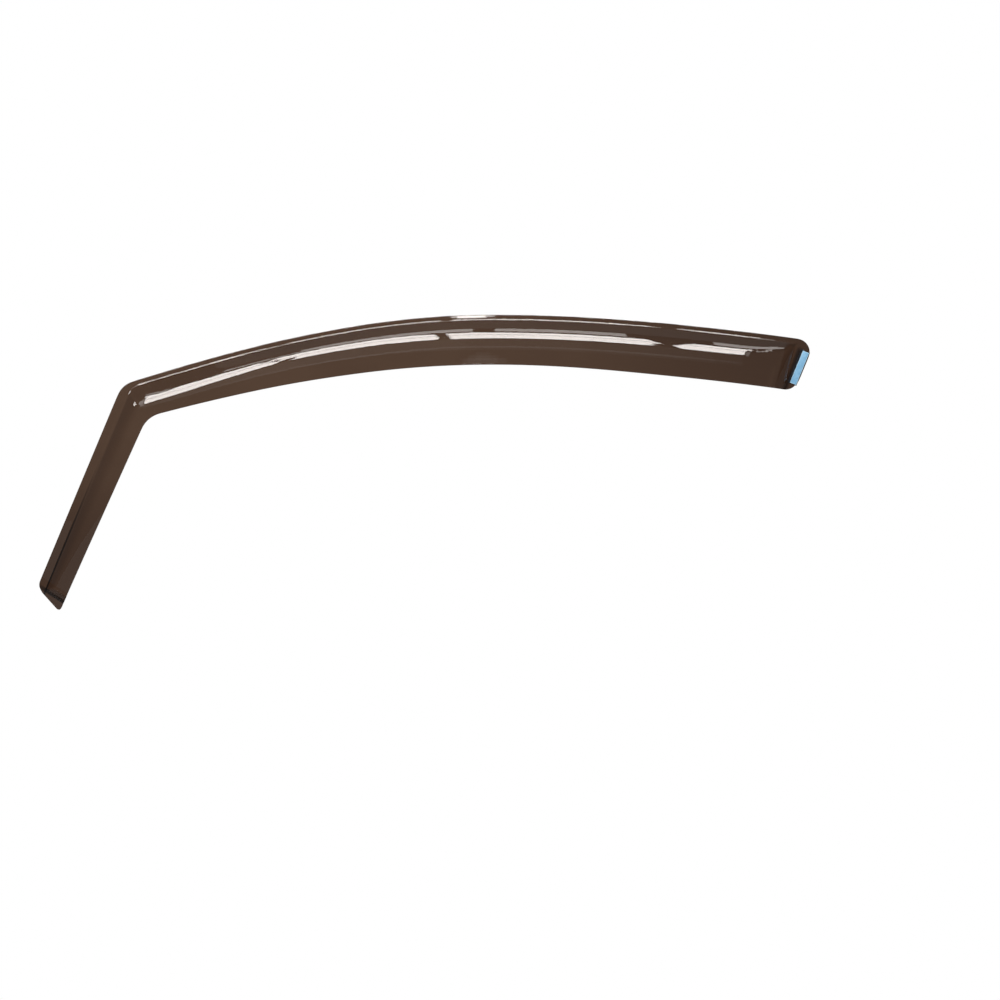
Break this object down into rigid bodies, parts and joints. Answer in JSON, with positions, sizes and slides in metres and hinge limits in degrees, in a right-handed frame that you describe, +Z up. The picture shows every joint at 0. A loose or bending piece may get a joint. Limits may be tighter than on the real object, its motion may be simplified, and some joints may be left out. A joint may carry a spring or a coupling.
{
  "type": "window rain deflector",
  "caption": "Smoked acrylic rain deflector for a car's left front door window, with a foam tape strip at its tail.",
  "frame": {"origin": "top edge of the flange at the crest of the arch, halfway through the wall", "axes": "+X back along the car, +Z up into the window channel, -Y out from the door"},
  "size_m": [0.8484, 0.0502, 0.3247],
  "materials": {
    "acrylic": "polished, smoked brown, see-through",
    "foam": "matt, fine closed cells",
    "liner": "satin film, light blue"
  },
  "bodies": {
    "root": {"visor_shell": "acrylic", "foam_tape": "foam", "release_liner": "liner"}
  },
  "joints": []
}
